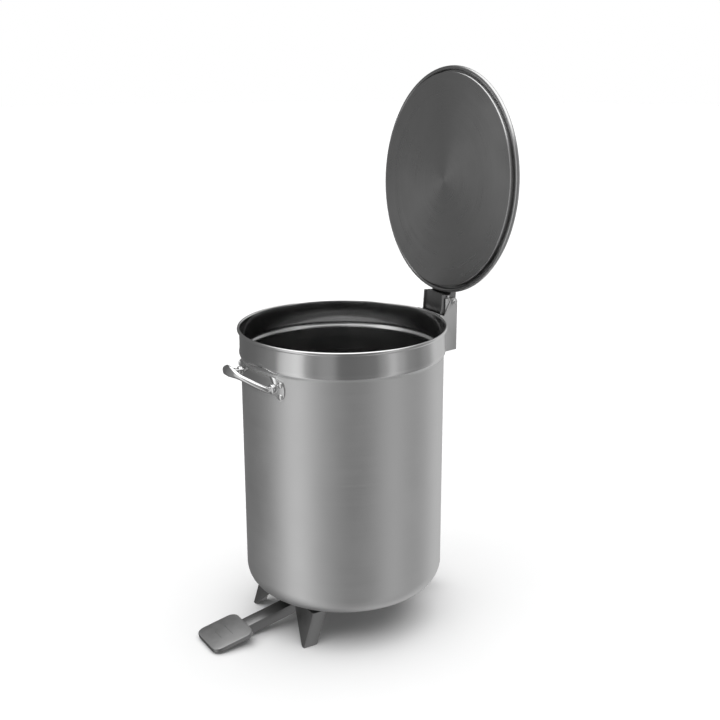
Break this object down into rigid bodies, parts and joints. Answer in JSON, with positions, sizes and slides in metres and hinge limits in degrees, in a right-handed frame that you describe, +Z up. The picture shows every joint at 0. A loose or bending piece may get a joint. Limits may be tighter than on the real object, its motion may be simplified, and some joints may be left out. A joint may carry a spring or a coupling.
{
  "type": "pedal trash can",
  "caption": "Round steel bin on low folded feet; a foot pedal raises a rod behind the can that swings the hinged lid up past vertical, and a bail handle is riveted to the front.",
  "frame": {"origin": "on the floor, at the middle of the whole object's bounding box with the lid open; the can's own axis stands 24.7 mm further along +Y", "axes": "+Z up; -Y towards the user, the way the pedal points; +X to the right of a user who stands at the pedal and faces the can"},
  "size_m": [0.426, 0.5576, 1.0451],
  "materials": {
    "body_steel": "satin stainless sheet, polished fine around the pail",
    "lid_steel": "stainless sheet with a turned grain in rings",
    "bracket_steel": "plain stainless plate, brushed along its length",
    "dark_steel": "darker, coarser brushed steel of the frame parts",
    "rod_steel": "drawn bright bar",
    "polished_steel": "polished stainless",
    "nylon": "natural nylon",
    "rubber": "matt black"
  },
  "bodies": {
    "can": {"can_body": "body_steel", "base_plate": "dark_steel", "foot_front_left": "dark_steel", "foot_front_right": "dark_steel", "rear_foot": "dark_steel", "foot_bolt_front_left": "polished_steel", "foot_bolt_front_right": "polished_steel", "foot_bolt_rear_left": "polished_steel", "foot_bolt_rear_right": "polished_steel", "handle_backplate": "polished_steel", "handle_bail": "polished_steel", "handle_boss_left": "polished_steel", "handle_boss_right": "polished_steel", "handle_rivet_left_upper": "polished_steel", "handle_rivet_left_lower": "polished_steel", "handle_rivet_right_upper": "polished_steel", "handle_rivet_right_lower": "polished_steel", "hinge_bracket": "bracket_steel", "bracket_spacer_upper": "bracket_steel", "bracket_spacer_lower": "bracket_steel", "bracket_rivet_upper_left": "polished_steel", "bracket_rivet_upper_right": "polished_steel", "bracket_rivet_lower_left": "polished_steel", "bracket_rivet_lower_right": "polished_steel", "stop_bumper": "rubber", "hinge_pin": "polished_steel", "hinge_pin_collar": "polished_steel", "hinge_spacer_left": "nylon", "hinge_spacer_right": "nylon", "upper_guide": "bracket_steel", "upper_bush": "nylon", "lower_guide": "bracket_steel", "lower_bush": "nylon", "guide_rivet_upper": "polished_steel", "guide_rivet_lower": "polished_steel", "pivot_lug_left": "dark_steel", "pivot_lug_right": "dark_steel", "pivot_pin": "polished_steel", "pivot_collar": "polished_steel"},
    "lid": {"lid_shell": "lid_steel", "lid_inner_pan": "lid_steel", "lid_arm": "dark_steel", "lid_strap": "bracket_steel", "lift_pin": "polished_steel", "strap_rivet_rear_left": "polished_steel", "strap_rivet_rear_right": "polished_steel", "strap_rivet_front_left": "polished_steel", "strap_rivet_front_right": "polished_steel"},
    "push_rod": {"push_rod": "rod_steel", "rod_fork": "rod_steel", "fork_lock_nut": "polished_steel", "clevis_lock_nut": "polished_steel", "rod_clevis": "rod_steel", "clevis_pin": "polished_steel"},
    "pedal": {"pedal_arm": "dark_steel", "rear_lever": "dark_steel", "pedal_pad": "dark_steel"}
  },
  "joints": [
    {"name": "lid_hinge", "type": "hinge", "parent": "can", "child": "lid", "pos_m": [0, 0.25333, 0.6039], "axis": [1, 0, 0], "range_deg": [0, 94.3]},
    {"name": "rod_slide", "type": "slide", "parent": "can", "child": "push_rod", "axis": [0, 0, 1], "range_m": [-0.0219, 0]},
    {"name": "pedal_hinge", "type": "hinge", "parent": "can", "child": "pedal", "pos_m": [0, 0.05473, 0.05103], "axis": [1, 0, 0], "range_deg": [-6.75, 0]}
  ],
  "couplings": [
    {"joint": "rod_slide", "follows": "lid_hinge", "m_per_rad": -0.013267},
    {"joint": "pedal_hinge", "follows": "lid_hinge", "ratio": -0.071455}
  ]
}
